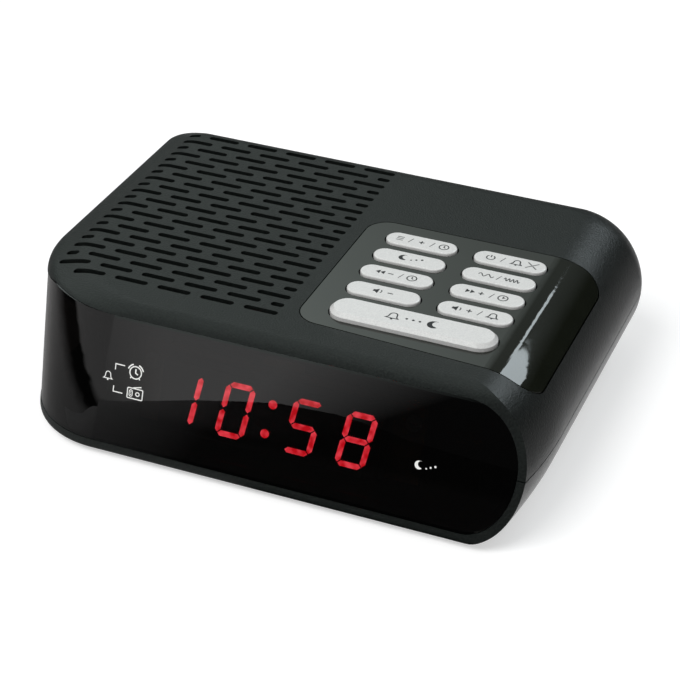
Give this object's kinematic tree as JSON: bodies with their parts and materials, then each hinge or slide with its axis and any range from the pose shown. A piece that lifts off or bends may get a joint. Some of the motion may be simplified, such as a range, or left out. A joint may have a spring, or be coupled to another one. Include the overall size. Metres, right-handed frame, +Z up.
{
  "type": "clock radio",
  "caption": "Low mains clock radio with a sloping smoked display, slotted loudspeaker grille on the left and silver push keys on a glossy panel that wraps over its rounded right end.",
  "frame": {"origin": "under the middle of the case, on the surface that its feet stand on", "axes": "+X to the user's right, +Y to the back, +Z up; the display faces -Y and leans back 17 degrees"},
  "size_m": [0.1504, 0.1183, 0.0428],
  "materials": {
    "case_plastic": "fine satin texture",
    "smoked_lens": "smoked, gloss",
    "panel_gloss": "gloss",
    "key_silver": "silver satin",
    "switch_plunger": "plain",
    "switch_housing": "plain",
    "circuit_board": "paper-laminate board",
    "module_black": "plain",
    "segment_red": "lit",
    "segment_dark": "unlit",
    "gasket_foam": "foam",
    "steel_sheet": "zinc plated",
    "magnet_ferrite": "sintered ferrite",
    "cone_paper": "pressed paper",
    "screw_steel": "zinc plated",
    "core_iron": "laminated",
    "copper_wire": "enamelled wire",
    "holder_plastic": "plain",
    "contact_nickel": "nickel plated",
    "foot_rubber": "plain"
  },
  "bodies": {
    "case": {"upper_case": "case_plastic", "lower_case": "case_plastic", "display_lens": "smoked_lens", "key_panel": "panel_gloss", "switch_snooze": "switch_housing", "switch_volume_down": "switch_housing", "switch_tune_down": "switch_housing", "switch_sleep": "switch_housing", "switch_preset": "switch_housing", "switch_volume_up": "switch_housing", "switch_tune_up": "switch_housing", "switch_band": "switch_housing", "switch_power": "switch_housing", "key_board": "circuit_board", "main_board": "circuit_board", "display_board": "circuit_board", "display_module": "module_black", "integrated_circuits": "module_black", "led_segments_lit": "segment_red", "led_segments_dark": "segment_dark", "speaker_gasket": "gasket_foam", "speaker_frame": "steel_sheet", "transformer_bracket": "steel_sheet", "crystal": "steel_sheet", "speaker_magnet": "magnet_ferrite", "ferrite_rod": "magnet_ferrite", "speaker_cone": "cone_paper", "speaker_screws": "screw_steel", "transformer_screws": "screw_steel", "board_screws": "screw_steel", "case_screws": "screw_steel", "transformer_core": "core_iron", "transformer_winding": "copper_wire", "ferrite_coil": "copper_wire", "ferrite_holders": "holder_plastic", "capacitors": "holder_plastic", "battery_contacts": "contact_nickel", "battery_springs": "contact_nickel", "rubber_feet": "foot_rubber", "cord_bush": "foot_rubber", "aerial_bush": "foot_rubber"},
    "key_snooze": {"key_snooze": "key_silver", "plunger_snooze": "switch_plunger"},
    "key_volume_down": {"key_volume_down": "key_silver", "plunger_volume_down": "switch_plunger"},
    "key_tune_down": {"key_tune_down": "key_silver", "plunger_tune_down": "switch_plunger"},
    "key_sleep": {"key_sleep": "key_silver", "plunger_sleep": "switch_plunger"},
    "key_preset": {"key_preset": "key_silver", "plunger_preset": "switch_plunger"},
    "key_volume_up": {"key_volume_up": "key_silver", "plunger_volume_up": "switch_plunger"},
    "key_tune_up": {"key_tune_up": "key_silver", "plunger_tune_up": "switch_plunger"},
    "key_band": {"key_band": "key_silver", "plunger_band": "switch_plunger"},
    "key_power": {"key_power": "key_silver", "plunger_power": "switch_plunger"},
    "battery_door": {"battery_door": "case_plastic"}
  },
  "joints": [
    {"name": "snooze_press", "type": "slide", "parent": "case", "child": "key_snooze", "axis": [0, 0, -1], "range_m": [0, 0.0007], "stiffness_N_per_m": 600, "springref_m": -0.0008},
    {"name": "volume_down_press", "type": "slide", "parent": "case", "child": "key_volume_down", "axis": [0, 0, -1], "range_m": [0, 0.0007], "stiffness_N_per_m": 600, "springref_m": -0.0008},
    {"name": "tune_down_press", "type": "slide", "parent": "case", "child": "key_tune_down", "axis": [0, 0, -1], "range_m": [0, 0.0007], "stiffness_N_per_m": 600, "springref_m": -0.0008},
    {"name": "sleep_press", "type": "slide", "parent": "case", "child": "key_sleep", "axis": [0, 0, -1], "range_m": [0, 0.0007], "stiffness_N_per_m": 600, "springref_m": -0.0008},
    {"name": "preset_press", "type": "slide", "parent": "case", "child": "key_preset", "axis": [0, 0, -1], "range_m": [0, 0.0007], "stiffness_N_per_m": 600, "springref_m": -0.0008},
    {"name": "volume_up_press", "type": "slide", "parent": "case", "child": "key_volume_up", "axis": [0, 0, -1], "range_m": [0, 0.0007], "stiffness_N_per_m": 600, "springref_m": -0.0008},
    {"name": "tune_up_press", "type": "slide", "parent": "case", "child": "key_tune_up", "axis": [0, 0, -1], "range_m": [0, 0.0007], "stiffness_N_per_m": 600, "springref_m": -0.0008},
    {"name": "band_press", "type": "slide", "parent": "case", "child": "key_band", "axis": [0, 0, -1], "range_m": [0, 0.0007], "stiffness_N_per_m": 600, "springref_m": -0.0008},
    {"name": "power_press", "type": "slide", "parent": "case", "child": "key_power", "axis": [0, 0, -1], "range_m": [0, 0.0007], "stiffness_N_per_m": 600, "springref_m": -0.0008},
    {"name": "battery_door_slide", "type": "slide", "parent": "case", "child": "battery_door", "axis": [0, 1, 0], "range_m": [0, 0.026]}
  ]
}
